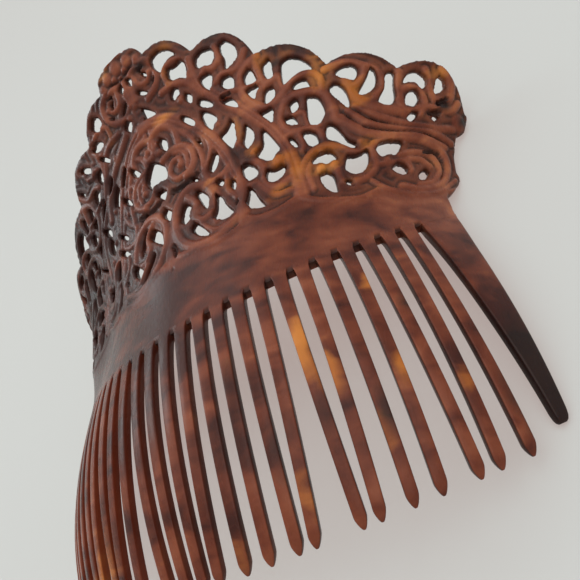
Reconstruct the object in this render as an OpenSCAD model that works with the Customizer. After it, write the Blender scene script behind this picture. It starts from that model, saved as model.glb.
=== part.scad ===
// Mantilla comb, lying on its hollow side on a flat surface.
// +X is the wearer's side shown on the right, +Y runs from the teeth to the crest, +Z is up.
// Every piece lies on one curved sheet, laid out flat first: u runs along the slots and z across them,
// from 0 at the top of the slots, up to the finial and down to the tooth tips.

/* [Arch] */
// Radius of the arch at the top of the slots
band_radius = 70; // [50:1:100]
// Share of its height by which the arch closes in above the slots and opens below them
arch_taper = 0.354; // [0:0.01:0.5]
// How fast the crest flattens out towards its top
crest_flare = 1.92; // [0:0.01:2.5]
// How fast the arch opens towards the tooth tips
tooth_flare = 0.06; // [0:0.01:0.5]
// Lean of the sheet at the slots
sheet_lean = 0.325; // [0:0.01:0.6]
// How fast that lean grows up the crest
crest_lean = 1.52; // [1.2:0.01:2]
// How fast it grows down the teeth, which bows them
tooth_lean = 0.65; // [0:0.01:1]
// Angle between the slots' plane and the upright where the comb lies
rest_angle = 29.8; // [20:0.1:45]
// How far the left end stands out over its foot, as if it had sprung there
left_spring = 4.5; // [0:0.5:5]
// Distance from the centre line at which it starts to stand out
spring_start = 34; // [30:1:40]
// Length over which that grows to its full amount
spring_run = 24; // [18:1:30]
// Height above the slots at which it stands out most
spring_level = 15; // [12:1:18]
// How fast it fades above that height
spring_above = 20; // [15:1:25]
// How fast it fades below that height
spring_below = 14; // [10:1:18]

/* [Crest] */
// Thickness of the pierced crest
crest_thick = 2.4; // [2.2:0.1:4]
// Rise of the crest's front over the band's
crest_rise = 0.2; // [0:0.1:0.8]
// Height of the crest's lower edge above the slots, on the centre line
crest_foot = 16; // [12:0.5:16]
// Drop of that lower edge at the ends
foot_drop = 8.3; // [8:0.1:10]
// Half the length of the crest's lower edge
foot_half = 72; // [68:0.5:75]
// Rows of facets up the crest
crest_rows = 4; // [3:1:8]
// Distance by which the gaps of the two side tables lie further up than the tables say
gap_lift = 0.9; // [0:0.1:1]
// Distance by which they lie nearer to the centre line
gap_pull = 0.4; // [0:0.1:0.6]

/* [Band] */
// Thickness of the plain band
band_thick = 2.3; // [2:0.1:4]
// Half the length of the band
band_half = 72.5; // [70:0.5:75]
// Rise of the slots' tops from the middle to the ends
slot_rise = 0.4; // [0:0.1:0.6]

/* [Teeth] */
// Number of inner teeth between the two guard teeth
tooth_count = 25; // [5:2:25]
// Distance from one tooth to the next at the slots
tooth_pitch = 4.9; // [4.5:0.1:5]
// Distance from the centre line to the middle of a guard tooth
guard_place = 67.4; // [66:0.1:70]
// Sideways sweep of all the teeth, at its most
tooth_sweep = 4; // [0:0.1:6]
// Height below the slots at which the sweep is at its most
sweep_depth = 30; // [20:1:40]
// Clear gap left between neighbouring pieces
piece_gap = 0.1; // [0.05:0.05:0.3]

/* [Hidden] */
// Sides of each circle of a gap
gap_sides = 6;
// Facets along the band
band_steps = 24;

// Outline of the crest from the top of the centre line to the right end of its foot.
// Each row is a corner, with the bulge and the number of facets of the edge that follows it.
//   u, z, bulge, facets
outline_table = [
    [0, 88.2, 0.6, 2],
    [4.2, 87.6, 1.1, 3],
    [8.9, 84.6, 0, 1],
    [9.1, 83.4, 3.4, 3],
    [22.2, 74.8, 5.3, 6],
    [37.2, 63.4, 3.9, 3],
    [52.4, 51.4, 3.2, 4],
    [68.7, 43.8, 5.9, 6],
    [84.8, 31, 0, 1],
    [83.6, 29.4, 2.2, 3],
    [81, 25.2, -0.4, 1],
    [78.4, 14.8, 1.2, 2],
    [76.6, 10.2, 0.4, 1],
    [73.2, 8.4, 0, 0],
];

// Gaps cut through both halves of the crest. Each is three circles joined in turn.
//   u, z and width of the first circle, then of the middle one, then of the last
gap_table = [
    // First scallop and the volutes beside the finial
    [5.9, 73.6, 1.4, 4.8, 74.1, 1.9, 3.7, 74.6, 1.4],
    [2, 79.4, 1.6, 2, 78.8, 1.4, 2.1, 78, 0.8],
    // Second scallop
    [24, 64.2, 1.6, 23, 63.6, 2.2, 22.7, 62.3, 1.4],
    [26.9, 60.2, 1.8, 27.9, 59.8, 2.8, 28.8, 58.6, 1.6],
    [19.2, 59.8, 1.8, 20.3, 58.7, 2.4, 21.5, 57.5, 1.6],
    [24.7, 55.4, 1, 26.9, 54.3, 1.9, 27.8, 52.6, 1.2],
    // Third scallop
    [41.6, 52.6, 2.6, 43.9, 54.2, 3.8, 48.2, 52.2, 1.4],
    [39.4, 58.2, 1.8, 38.7, 57, 2.6, 38.5, 55.6, 1.8],
    [34.2, 58.7, 1.8, 34, 57.4, 2.2, 32.9, 57.2, 1.2],
    [32.4, 53.8, 1.2, 33, 53.2, 2.2, 34.4, 53.9, 0.8],
    [37.6, 50.7, 1.6, 36.4, 50.1, 2.2, 35.3, 49.3, 1.2],
    [43.5, 48.5, 1.2, 44.8, 48.4, 1.8, 46, 47.9, 1.2],
    [33.6, 45.6, 1.4, 34.4, 45, 2.2, 34.7, 43.3, 0.9],
    [40.6, 43.7, 1.4, 41.2, 44, 2.2, 41.9, 44.5, 1.2],
    [38, 40.8, 1.6, 38.9, 40, 2, 40.1, 39.6, 1.2],
    [45.7, 42.4, 3, 45.6, 40.2, 4.2, 45, 37.8, 2.6],
    // Fourth scallop
    [54.3, 47.3, 1.4, 56, 46.5, 2.8, 57.7, 46, 1.4],
    [61.3, 43.6, 2, 60.3, 41.8, 2.8, 57.4, 40.6, 1.2],
    [51.8, 43, 2.6, 52.6, 41.8, 2.4, 53.2, 38.9, 1.3],
    [66, 42, 1.4, 64.4, 39, 2.6, 63, 36.7, 3.4],
    // Fifth scallop
    [69.4, 39.8, 1.2, 71.8, 40.1, 1.9, 74, 37.9, 1.5],
    [68.6, 34.6, 2, 69.4, 35.3, 3, 70.3, 34.6, 2],
    [78.2, 37.2, 2.4, 77.4, 36.4, 2.2, 76.3, 35.6, 1.2],
    [67.4, 30.8, 1.4, 68.2, 30.6, 1.8, 69.1, 30.3, 1.2],
    [73.8, 29.5, 1.2, 74.4, 29.1, 1.6, 75.1, 28.8, 1.2],
    // Between the long ribs
    [13.2, 58.8, 1.8, 14.3, 57.2, 2.2, 15.2, 55.8, 1.2],
    [18.9, 55.5, 2, 19.6, 53.2, 3.4, 19.2, 51, 1.4],
    [28.3, 44.4, 1.8, 27.7, 42.3, 2.6, 27, 40.2, 1.6],
    [37.5, 34.8, 1.4, 37.9, 34, 1.7, 38.3, 33.3, 1.2],
    [41.2, 34.1, 2.2, 42.2, 33.3, 3.2, 42.6, 32.3, 2.2],
    [47, 32.8, 3, 48.8, 30.3, 2.8, 52, 27.3, 1.3],
    // Loops along the foot
    [11.3, 34, 1.6, 12.2, 32.4, 2.3, 12.6, 30.7, 1.2],
    [9.1, 25.4, 1.4, 10.1, 23.5, 2.6, 12.2, 21.6, 1.2],
    [25, 33.4, 1.6, 25.7, 32.2, 2.6, 26.3, 31, 1.8],
    [25, 25.6, 1.8, 25.1, 23.6, 2.6, 26.8, 21.5, 1.2],
    [30.5, 28, 2.4, 31.8, 27.7, 2.8, 33.5, 28.4, 1.6],
    [41.2, 26.2, 1.2, 43.3, 26.9, 2, 46, 25.6, 1.2],
    [42.9, 20.8, 2.6, 43.4, 19.3, 2.8, 44.2, 16.9, 1],
    [49.4, 22.8, 2.8, 51, 21.7, 4, 53.1, 22.8, 2],
    [46.9, 18, 0.8, 47.7, 17.4, 1.1, 48.7, 16.9, 0.8],
    [57.7, 23.6, 2, 60, 23.8, 2.4, 62, 23.2, 1.6],
    [59.3, 18.1, 1.2, 60.6, 17.4, 1.9, 61.9, 16.5, 1.3],
    [66.2, 14.6, 2.2, 67, 14.7, 2.6, 67.6, 14.3, 1.8],
];

// Gaps of the right half alone, in the same form
right_gap_table = [
    [12.7, 76.8, 2.6, 14.8, 78.3, 2.4, 17.8, 77, 1.2],
    [15.6, 72.3, 3, 17.6, 72, 2.8, 18.4, 70, 1.2],
    [2.2, 70.3, 2, 2.6, 68.5, 3.2, 4.6, 67, 1.4],
    [12.3, 66, 1.4, 13.2, 67.2, 2.2, 14.4, 67.6, 1.4],
    [16.6, 64.3, 1.8, 16.9, 63.2, 2, 16.3, 62.2, 1],
    [22.7, 69.6, 1.6, 24.9, 70.2, 3, 27.4, 69.7, 1.6],
    [31.8, 68.5, 3.4, 31.8, 66.5, 4, 29.6, 64.8, 1.6],
    [4.4, 57.8, 1.6, 4.6, 56.4, 2, 4.5, 54.8, 1.2],
    [24.3, 48, 1.6, 22.8, 45.9, 3.2, 23.1, 43.1, 1.6],
    [32.1, 40.3, 1.4, 32.2, 36.4, 3.6, 31.3, 34.8, 3.8],
    [18, 42.9, 1.4, 17.2, 41.3, 2.4, 16.4, 39.6, 1.6],
    [14.9, 49.8, 0.9, 15, 48.4, 1.1, 15, 46.8, 0.9],
    [6.9, 32.7, 1.6, 6.2, 31.2, 2.4, 5.8, 29.9, 1.6],
    [16.8, 29, 1.3, 16.7, 26.5, 2.8, 16.6, 24.6, 3.4],
    [17.3, 34, 1, 17.7, 33.8, 1.3, 18.1, 33.9, 0.8],
    [21.5, 31.8, 1.1, 21.1, 31.2, 1.3, 20.8, 30.4, 1],
];

// Gaps of the left half alone, in the same form
left_gap_table = [
    [-14.4, 78, 2, -16, 78.6, 3.2, -17.6, 77.2, 1.4],
    [-16.8, 73, 2.6, -18.6, 72.9, 3, -20.8, 72.6, 2],
    [-3.8, 70.6, 1.6, -5, 69.9, 2.4, -6.2, 69, 1.4],
    [-16.8, 67.4, 1.6, -17.8, 67.8, 2.4, -19.2, 68.6, 1.6],
    [-25.8, 70.6, 1.8, -27.6, 70.4, 2.4, -29.8, 71, 1.6],
    [-32.2, 65.4, 1.4, -33.2, 66, 2.2, -34.2, 66.6, 1.4],
    [-7.2, 54.6, 1.6, -8.4, 56, 2.4, -9.6, 57.4, 1.6],
    [-13.2, 48.8, 1.4, -14.4, 50.4, 2, -15.4, 51.8, 1.4],
    [-26.8, 48, 1.4, -28, 49, 2.4, -29.4, 49.8, 1.6],
    [-18.4, 40.4, 1.4, -20, 41.8, 2.2, -21.4, 43, 1.4],
    [-18.6, 34.8, 1.6, -20.8, 36.6, 2.4, -22.6, 38, 1.4],
    [-32, 37.4, 1.4, -33.4, 38.4, 2.2, -34.6, 39.4, 1.4],
    [-3.4, 28.6, 1.6, -5, 31, 3.2, -6.2, 33, 2.6],
    [-13.6, 25, 1.4, -14.8, 26.6, 2.6, -16.2, 28.4, 1.6],
];

// Gaps on the centre line, in the same form
centre_gap_table = [
    [-1.9, 48.6, 3.4, 0, 50.4, 4.6, 1.9, 48.6, 3.4],
    [-1, 42.6, 1.4, 0, 42, 2, 1, 42.6, 1.4],
    [0, 36, 1.2, 0, 35, 2, 0, 33.8, 1],
];

// Inner tooth from root to tip
//   z, width, thickness
tooth_table = [
    [0, 3.1, 2.2],
    [-7, 2.7, 2],
    [-15, 2.4, 1.9],
    [-25, 2.3, 1.8],
    [-35, 2.2, 1.8],
    [-43, 2.2, 1.7],
    [-46.9, 2.1, 1.7],
    [-49.2, 0.5, 0.6],
];

// Guard tooth from root to tip
//   z, width, thickness
guard_table = [
    [0, 10.2, 2.3],
    [-5, 9, 2.3],
    [-10, 7.8, 2.3],
    [-17, 6.6, 2.2],
    [-25, 5.6, 2.2],
    [-33, 4.5, 2.1],
    [-40, 3.5, 2],
    [-44.6, 2.8, 1.9],
    [-46.5, 1.6, 1.1],
];

// Sideways drift of each inner tooth's tip, from the right guard tooth to the left one
tip_drift = [
    1.2, 0.4, 1.6, 0, 0.1, -0.6, 1.2, -2.1, -0.3, -0.6, -0.5, -1.2, 0.2,
    1.2, 1.8, -1.2, -2, 0.6, -0.8, 1, 0.2, -0.9, 0.7, -0.4, 0.5,
];

degrees_per_radian = 180 / PI;
tip_z = tooth_table[len(tooth_table) - 1][0];

// The sheet: each level z has an arc of radius arc_radius(z), whose middle is arc_middle(z) back from
// the front.
function level(z, linear, above, below) =
    linear * z + (z > 0 ? above : below) * z * z / band_radius;
function level_slope(z, linear, above, below) =
    linear + 2 * (z > 0 ? above : below) * z / band_radius;
function arc_radius(z) = band_radius + level(z, -arch_taper, crest_flare, tooth_flare);
function arc_radius_slope(z) = level_slope(z, -arch_taper, crest_flare, tooth_flare);
function arc_middle(z) = level(z, sheet_lean, crest_lean, tooth_lean);
function arc_middle_slope(z) = level_slope(z, sheet_lean, crest_lean, tooth_lean);
function arc_turn(u, z) = u / arc_radius(z);

// Front of the sheet, the two directions along it and the one out of its front
function on_sheet(u, z) =
    let (turn = arc_turn(u, z) * degrees_per_radian, r = arc_radius(z))
    [r * sin(turn), arc_middle(z) - r * cos(turn) + band_radius, z];
function along_u(u, z) =
    let (turn = arc_turn(u, z) * degrees_per_radian)
    [cos(turn), sin(turn), 0];
function along_z(u, z) =
    let (t = arc_turn(u, z), turn = t * degrees_per_radian, slope = arc_radius_slope(z))
    [slope * (sin(turn) - t * cos(turn)), arc_middle_slope(z) - slope * (cos(turn) + t * sin(turn)), 1];
function unit(v) = v / norm(v);
function outwards(u, z) = unit(cross(along_u(u, z), along_z(u, z)));

// Points of the outline's right half: each edge bulges outwards as a parabola
function edge_point(a, b, t) =
    let (run = [b[0] - a[0], b[1] - a[1]], out = [-run[1], run[0]] / norm(run))
    [a[0], a[1]] + run * t + out * a[2] * 4 * t * (1 - t);
crest_edge = concat(
    [for (k = [0:len(outline_table) - 2], s = [0:outline_table[k][3] - 1])
        edge_point(outline_table[k], outline_table[k + 1], s / outline_table[k][3])],
    [[for (c = [0:1]) outline_table[len(outline_table) - 1][c]]]
);
edge_count = len(crest_edge) - 1;

// From the upright sheet, with its left end sprung out by a soft step along u and a bell up z, to the comb
// as it lies
function tip_back(p) =
    [p[0], p[1] * sin(rest_angle) + p[2] * cos(rest_angle), p[2] * sin(rest_angle) - p[1] * cos(rest_angle)];
function spring_out(u, z) =
    let (t = min(max((-u - spring_start) / spring_run, 0), 1),
         share = (z - spring_level) / (z > spring_level ? spring_above : spring_below))
    left_spring * t * t * (3 - 2 * t) * exp(-share * share);
function lifted(u, z, h) = tip_back(on_sheet(u, z) + (h + spring_out(u, z)) * outwards(u, z));
crest_reach = max([for (p = crest_edge, h = [crest_rise, crest_rise - crest_thick])
    lifted(p[0], p[1], h)[1]]);
tip_reach = min([for (k = [1:tooth_count], row = tooth_table)
    lifted(tooth_path(tooth_place(k), tip_drift[k - 1], row[0]), row[0] + root_z(tooth_place(k)), 0)[1]]);
middle_y = (crest_reach + tip_reach) / 2;
floor_level = min(concat(
    [for (row = guard_table, edge = [-1, 1])
        lifted(guard_place + sweep(row[0]) + edge * row[1] / 2, row[0] + root_z(guard_place), -row[2])[2]],
    [for (p = crest_edge) lifted(p[0], p[1], crest_rise - crest_thick)[2]]
));
function place(u, z, h) = lifted(u, z, h) - [0, middle_y, floor_level];

function foot_z(u) = crest_foot - foot_drop * (u / foot_half) * (u / foot_half);
function slot_z(u) = slot_rise * (u / guard_place) * (u / guard_place);
function root_z(u) = slot_z(u) - piece_gap;
function mirrored(side, p) = [side * p[0], p[1]];

// Sideways place of a tooth at height z
function tooth_place(k) = ((tooth_count + 1) / 2 - k) * tooth_pitch;
function sweep(z) = tooth_sweep * (-z / sweep_depth) * (2 + z / sweep_depth);
function tooth_path(root, drift, z) = root + sweep(z) + drift * (z / tip_z) * (z / tip_z);
function tooth_name(k) = str("tooth_", k < 10 ? "0" : "", k);

// Solid on the sheet: columns of [u, z] points from the left to the right, each row with its thickness.
// The front stands out from the sheet by rise.
module sheet(columns, thick, rise = 0) {
    n = len(columns);
    m = len(thick);
    front = 0;
    back = n * m;
    points = [for (depth = [0, 1], i = [0:n - 1], j = [0:m - 1])
        place(columns[i][j][0], columns[i][j][1], rise - depth * thick[j])];
    faces = concat(
        [for (i = [0:n - 2], j = [0:m - 2]) let (a = i * m + j, b = a + m) each [
            [front + a, front + a + 1, front + b + 1], [front + a, front + b + 1, front + b],
            [back + a, back + b + 1, back + a + 1], [back + a, back + b, back + b + 1]]],
        [for (i = [0:n - 2]) let (a = i * m, b = a + m) each [
            [front + a, front + b, back + b], [front + a, back + b, back + a],
            [front + b + m - 1, front + a + m - 1, back + a + m - 1],
            [front + b + m - 1, back + a + m - 1, back + b + m - 1]]],
        [for (j = [0:m - 2]) let (a = j, b = (n - 1) * m + j) each [
            [front + a + 1, front + a, back + a], [front + a + 1, back + a, back + a + 1],
            [front + b, front + b + 1, back + b + 1], [front + b, back + b + 1, back + b]]]
    );
    polyhedron(points, faces);
}

// Cutter for one gap: its shape in the layout, pushed straight through the sheet at the middle of the gap
module gap(row, side = 1, lift = 0, pull = 0) {
    u = side * (row[3] - pull);
    z = row[4] + lift;
    a = tip_back(along_u(u, z));
    b = tip_back(along_z(u, z));
    n = tip_back(outwards(u, z));
    p = place(u, z, crest_rise - crest_thick / 2);
    multmatrix([[a[0], b[0], n[0], p[0]], [a[1], b[1], n[1], p[1]], [a[2], b[2], n[2], p[2]]])
        linear_extrude(crest_thick + 2, center = true)
            for (k = [0, 3])
                hull()
                    for (c = [k, k + 3])
                        translate([side * (row[c] - row[3]), row[c + 1] - row[4]])
                            circle(d = row[c + 2] / cos(180 / gap_sides), $fn = gap_sides);
}

module crest() {
    half = [for (k = [0:edge_count])
        let (foot_u = foot_half * k / edge_count, foot = [foot_u, foot_z(foot_u) + piece_gap])
        [for (j = [0:crest_rows]) foot + (crest_edge[k] - foot) * j / crest_rows]];
    columns = concat(
        [for (k = [edge_count:-1:1]) [for (p = half[k]) mirrored(-1, p)]],
        half
    );
    color("saddlebrown")
        difference() {
            sheet(columns, [for (j = [0:crest_rows]) crest_thick], crest_rise);
            for (row = gap_table, side = [-1, 1]) gap(row, side, gap_lift, gap_pull);
            for (row = right_gap_table) gap(row, 1, gap_lift, gap_pull);
            for (row = left_gap_table) gap(row);
            for (row = centre_gap_table) gap(row);
        }
}

module band() {
    columns = [for (k = [0:band_steps])
        let (u = band_half * (2 * k / band_steps - 1))
        [for (t = [0, 0.5, 1]) [u, slot_z(u) + (foot_z(u) - slot_z(u)) * t]]];
    color("sienna") sheet(columns, [band_thick, band_thick, band_thick]);
}

// Tooth whose rows are z, width and thickness, with a column of points at each share of half its width
module tooth_solid(root, drift, table, edges = [-1, 1]) {
    columns = [for (edge = edges) [for (k = [len(table) - 1:-1:0])
        let (z = table[k][0])
        [tooth_path(root, drift, z) + edge * table[k][1] / 2, z + root_z(root)]]];
    sheet(columns, [for (k = [len(table) - 1:-1:0]) table[k][2]]);
}

module guard_tooth_right() {
    color("saddlebrown") tooth_solid(guard_place, 0, guard_table, [-1, 0, 1]);
}

module guard_tooth_left() {
    color("saddlebrown") tooth_solid(-guard_place, 0, guard_table, [-1, 0, 1]);
}

module inner_tooth(k) {
    color("peru") tooth_solid(tooth_place(k), tip_drift[k - 1], tooth_table);
}

crest();
band();
guard_tooth_right();
guard_tooth_left();
for (k = [1:tooth_count])
    inner_tooth(k);
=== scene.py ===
import bpy
import numpy as np
from mathutils import Matrix, Vector


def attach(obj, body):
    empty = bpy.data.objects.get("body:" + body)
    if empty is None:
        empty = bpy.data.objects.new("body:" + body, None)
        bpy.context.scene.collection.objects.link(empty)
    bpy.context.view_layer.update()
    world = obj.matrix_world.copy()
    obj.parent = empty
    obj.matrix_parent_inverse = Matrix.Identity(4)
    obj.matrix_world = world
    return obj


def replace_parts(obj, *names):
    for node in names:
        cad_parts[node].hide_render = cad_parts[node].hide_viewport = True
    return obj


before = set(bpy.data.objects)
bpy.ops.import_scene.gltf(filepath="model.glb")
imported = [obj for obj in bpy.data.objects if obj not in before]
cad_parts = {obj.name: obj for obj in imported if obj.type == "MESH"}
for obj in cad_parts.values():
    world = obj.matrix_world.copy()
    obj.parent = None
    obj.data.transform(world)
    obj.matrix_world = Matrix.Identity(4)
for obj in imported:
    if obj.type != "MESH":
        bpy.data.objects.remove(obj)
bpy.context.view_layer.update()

# The crest
# The upper part of one plate of mottled plastic, bent over a form while soft, pierced with a saw and
# carved on its front. It is laid out flat first: u runs along the top of the slots and z across them,
# both in millimetres, and the sheet's formulas bend the layout into the comb.

BAND_RADIUS = 70.0
ARCH_TAPER = 0.354
CREST_FLARE = 1.92
TOOTH_FLARE = 0.06
SHEET_LEAN = 0.325
CREST_LEAN = 1.52
TOOTH_LEAN = 0.65
REST_ANGLE = np.radians(29.8)
MIDDLE_Y = 18.4148
FLOOR_LEVEL = -35.8267
# The left end of the comb stands out a little over its foot, as if it had sprung there
SPRING = 4.5
SPRING_START = 34.0
SPRING_RUN = 24.0
SPRING_LEVEL = 15.0
SPRING_ABOVE = 20.0
SPRING_BELOW = 14.0
METRES = 0.001


def spring_out(u, z):
    """How far the left end stands out: a cubic ease along u times a bell curve in z."""
    t = np.clip((-u - SPRING_START) / SPRING_RUN, 0, 1)
    reach = np.where(z > SPRING_LEVEL, SPRING_ABOVE, SPRING_BELOW)
    return SPRING * t**2 * (3 - 2 * t) * np.exp(-((z - SPRING_LEVEL) / reach)**2)


def sheet_point(u, z, h):
    """Point of the sheet in metres, h in front of its front face. A level z is an arc whose radius and
    whose middle are quadratics in z, and u is measured along that arc. The front looks along the cross
    product of the two directions in the sheet. The whole is then tipped back by the rest angle."""
    u, z, h = np.broadcast_arrays(u, z, h)
    h = h + spring_out(u, z)
    above = z > 0
    flare = np.where(above, CREST_FLARE, TOOTH_FLARE)
    lean = np.where(above, CREST_LEAN, TOOTH_LEAN)
    radius = BAND_RADIUS - ARCH_TAPER * z + flare * z**2 / BAND_RADIUS
    radius_slope = -ARCH_TAPER + 2 * flare * z / BAND_RADIUS
    middle = SHEET_LEAN * z + lean * z**2 / BAND_RADIUS
    middle_slope = SHEET_LEAN + 2 * lean * z / BAND_RADIUS
    turn = u / radius
    sine, cosine = np.sin(turn), np.cos(turn)
    point = np.stack([radius * sine, middle - radius * cosine + BAND_RADIUS, z], -1)
    along_u = np.stack([cosine, sine, 0 * z], -1)
    along_z = np.stack([
        radius_slope * (sine - turn * cosine),
        middle_slope - radius_slope * (cosine + turn * sine),
        np.ones_like(z, dtype=float),
    ], -1)
    out = np.cross(along_u, along_z)
    out /= np.linalg.norm(out, axis=-1, keepdims=True)
    x, y, height = np.moveaxis(point + h[..., None] * out, -1, 0)
    s, c = np.sin(REST_ANGLE), np.cos(REST_ANGLE)
    return METRES * np.stack([x, y * s + height * c - MIDDLE_Y, height * s - y * c - FLOOR_LEVEL], -1)


# Edge of the crest from the top of the centre line to the right end of its foot: u and z of each corner,
# and the bulge of the edge that follows it
CREST_EDGE = [
    (0, 88, 0.6), (4.2, 87.4, 1.1), (8.6, 84.6, 0), (8.9, 83.2, 3.4), (22.1, 74.6, 5.3),
    (37, 63.2, 3.9), (52.3, 51.2, 3.2), (68.6, 43.6, 5.9), (84.8, 30.4, 0.9), (84.6, 26.2, 0.7),
    (81, 24.6, -0.6), (78.4, 14.8, 1.2), (76.6, 10.2, 0.5), (73, 8.4, 0),
]
EDGE_STEP = 0.1
# The end of the band, down from the crest's foot to the guard tooth
BAND_HALF = 72.5
BAND_END = [(BAND_HALF, 7.6), (BAND_HALF - 0.2, 5)]
# The line of the slots' tops, which rises towards both ends
SLOT_RISE = 0.4
GUARD_PLACE = 67.4
SLOT_LINE_POINTS = 40
CORNER_CUTS = 3
CORNER_SHARE = 0.2
# The gaps are charted as they show clear through from the comb's right, between these two depths
EDGE_DEPTH = 0.45
WALL_DEPTH = 1.9
GAP_SHRINK = 0.36
LEAST_STRAND = 1.0
EDGE_GROWTH = 0.25

# Gaps that both halves have, as the corners of a ring of straight pieces that is then cut round
GAPS = [
    # First scallop and the volute beside the finial
    [(6.4, 78.4), (7.2, 79.4), (8.2, 78), (7.2, 77)],
    [(2.8, 74.3), (4, 75.3), (6.3, 73.4), (5.6, 72.8), (3.8, 73.3)],
    [(1, 80.2), (3.8, 80), (3.1, 78.9), (2.3, 77.4), (1.4, 78.2)],
    # Second scallop
    [(21.3, 65.8), (25.6, 65.4), (24.2, 62.8), (22.8, 60.9), (21.5, 62.6)],
    [(25.7, 59.9), (27.2, 61.9), (30.4, 61.2), (29, 57.3), (27.4, 58.3)],
    [(18, 59), (19.3, 61.1), (22.4, 58), (21.7, 56.4), (20, 57.3)],
    [(23.7, 56), (27.9, 55.2), (28.5, 53), (27.9, 51.4), (25.8, 53.5)],
    # Third scallop
    [(40.2, 50.2), (40.8, 53.2), (42.2, 56.8), (45.2, 57), (48, 54.6), (49.8, 50.7), (46, 52.4),
     (43, 51.6)],
    [(41.6, 48.6), (43.8, 49.9), (46.6, 49.4), (47.1, 46.9), (44.5, 47.7)],
    [(40.9, 59.5), (37.8, 58.8), (37.1, 56), (37.6, 54.2), (39.5, 54.2), (40, 56.6)],
    [(35.2, 60.3), (32.4, 58.8), (31.6, 56.3), (34, 55.6), (35.4, 56)],
    [(31.2, 54.6), (35.2, 54.7), (34.9, 53.1), (33.8, 53.2), (32.9, 51.3), (31.6, 52.6)],
    [(34.2, 48.2), (35.2, 50.8), (36.4, 52), (38.9, 51.6), (37.8, 49.2), (35.8, 48.2)],
    [(31.8, 47.2), (34, 46.2), (36.6, 46.6), (35.4, 44), (34.5, 41.9), (33.4, 44)],
    [(39.4, 42.3), (40, 45), (42.8, 45.4), (42.2, 42.8)],
    [(36.9, 41.6), (40, 41.4), (41, 39), (40, 38.7), (38.2, 39.6)],
    [(44.4, 44.9), (47.6, 43.4), (48.2, 38.8), (45, 35.7), (42.4, 37.4), (43.5, 41.5)],
    # Fourth scallop
    [(52.6, 47.8), (55.3, 48.4), (58.2, 47.8), (59.2, 45.8), (57.6, 43.9), (55.2, 44.9)],
    [(61.6, 45.7), (62.9, 44), (62.2, 40.8), (59, 39.2), (56, 40.1), (58.6, 42.3), (60.3, 43.8)],
    [(49.8, 44.4), (52.7, 45.1), (54.4, 42), (54.3, 38), (52.9, 37.5), (51.4, 40.6)],
    [(64.6, 43.2), (67.4, 42.4), (65.9, 39), (65.2, 35), (62.2, 34.9), (60.3, 37), (63.2, 39.4)],
    # Fifth scallop
    [(67.9, 39.2), (69.7, 41.4), (72.8, 41.3), (74.9, 39), (74.6, 36.8), (72.8, 36.8), (72, 38.8),
     (70, 39.2)],
    [(67, 34.2), (68.3, 37), (71, 36.8), (71.5, 34), (69.8, 32.8), (67.8, 33.6)],
    [(78.1, 39.3), (79.8, 37.6), (79.3, 35), (75.5, 34.9), (76.8, 37.2)],
    [(66.1, 30.8), (68, 31.7), (70.1, 30.6), (68.8, 29.6), (67.2, 29.2)],
    [(72.8, 29.9), (74.4, 29.9), (75.8, 28.7), (74.2, 28)],
    # Between the long ribs
    [(12, 58.2), (13, 59.8), (15.2, 57.8), (16, 55.3), (15, 54.4), (13.4, 56)],
    [(17.8, 57), (19.8, 56.4), (22, 53.5), (21.4, 52), (20.3, 51.8), (19.1, 49.7), (17.8, 53)],
    [(28.3, 46.3), (29.7, 43.8), (29.2, 40.8), (26.2, 38.6), (25.9, 41.4), (27.2, 43.6)],
    [(9.2, 40.1), (11.5, 40.2), (11.9, 38), (10.5, 38.8)],
    [(36.5, 35.2), (37.8, 35.9), (39, 33.5), (38.6, 32.5), (37.4, 33)],
    [(39.9, 35.6), (42.4, 35.3), (44.1, 33.3), (43.8, 31.1), (41, 31)],
    [(46.6, 35.4), (45, 32), (48, 29.6), (50.2, 26.6), (53.3, 26.5), (50.6, 28.5), (49.7, 31.6),
     (48.4, 34.2)],
    # Loops along the foot
    [(10.1, 35.3), (12.3, 35), (13.8, 32), (12.9, 29), (12.2, 28.6), (11.3, 31.4)],
    [(8, 25.2), (9.3, 26.6), (11.3, 23.9), (13.3, 20.4), (10.5, 21.4), (8.4, 23.2)],
    [(23.8, 34.6), (25.9, 34.5), (27.9, 32.4), (27.4, 29.8), (24, 29.8)],
    [(24.6, 27.5), (25.7, 26.9), (26.5, 23.6), (28.5, 20), (25.3, 20.8), (23, 22.4), (24.2, 25)],
    [(29.9, 30.3), (31.2, 29.1), (33, 28.8), (35, 29.5), (33.6, 26.6), (31.4, 25.9), (28.8, 26.6)],
    [(39.7, 25.9), (41.2, 27.6), (43.5, 28.2), (46, 27.3), (47.3, 24.6), (45.5, 25.3), (44, 24.6),
     (42.4, 25.9)],
    [(40.9, 22), (43.2, 22.5), (45, 20.9), (45.2, 15.8), (43.6, 16.2), (41.8, 18.6)],
    [(48.6, 25), (51, 23.7), (54.5, 24.8), (54.3, 21.7), (52.3, 19.2), (49.4, 19.2), (47.2, 21.8)],
    [(46.4, 18.7), (47.8, 18.1), (49.6, 16.2), (47.9, 16.4), (46.8, 17.3)],
    [(55.8, 25), (58.2, 25.8), (64.2, 24.2), (61.2, 21.2), (59.2, 22.4), (57.2, 21.6)],
    [(58.2, 18.2), (60.2, 19.1), (62.3, 18), (63.2, 15.6), (61.2, 15.6)],
    [(65.2, 14.6), (66, 15.8), (67.8, 15.9), (68.6, 14.5), (67.4, 13), (65.4, 13.3)],
]
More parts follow.
